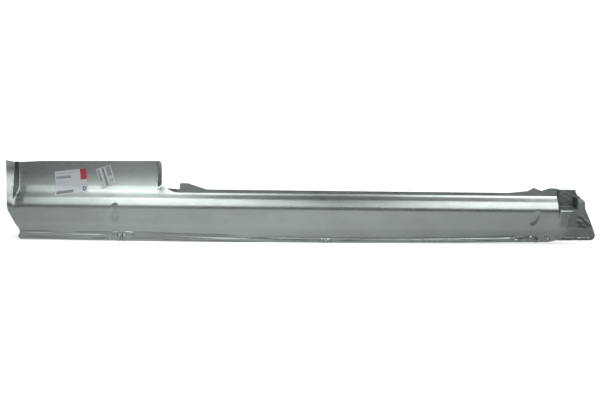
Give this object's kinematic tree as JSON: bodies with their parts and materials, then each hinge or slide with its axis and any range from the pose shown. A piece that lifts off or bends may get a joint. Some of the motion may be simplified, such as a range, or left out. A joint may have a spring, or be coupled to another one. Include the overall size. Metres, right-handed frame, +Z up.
{
  "type": "rocker panel",
  "caption": "Pressed sheet-steel sill panel with rolled upper edge, door upstand, floor flange and rear quarter corner with a wheel-arch flare",
  "frame": {"origin": "centre of the underside of the bounding box: below the middle of the panel, at the lower edge of the floor flange", "axes": "X runs along the sill, from the wheel-arch end (-X) to the front end (+X); -Y is the outer side of the vehicle; +Z is up, as fitted"},
  "size_m": [1.6924, 0.0834, 0.232],
  "materials": {
    "sheet_steel": "bare zinc-coated sheet, satin, with faint rolling lines",
    "label_paper": "white label stock with plain colour fields, no lettering"
  },
  "bodies": {
    "root": {"sill_panel": "sheet_steel", "large_paper_label": "label_paper", "small_paper_label": "label_paper"}
  },
  "joints": []
}
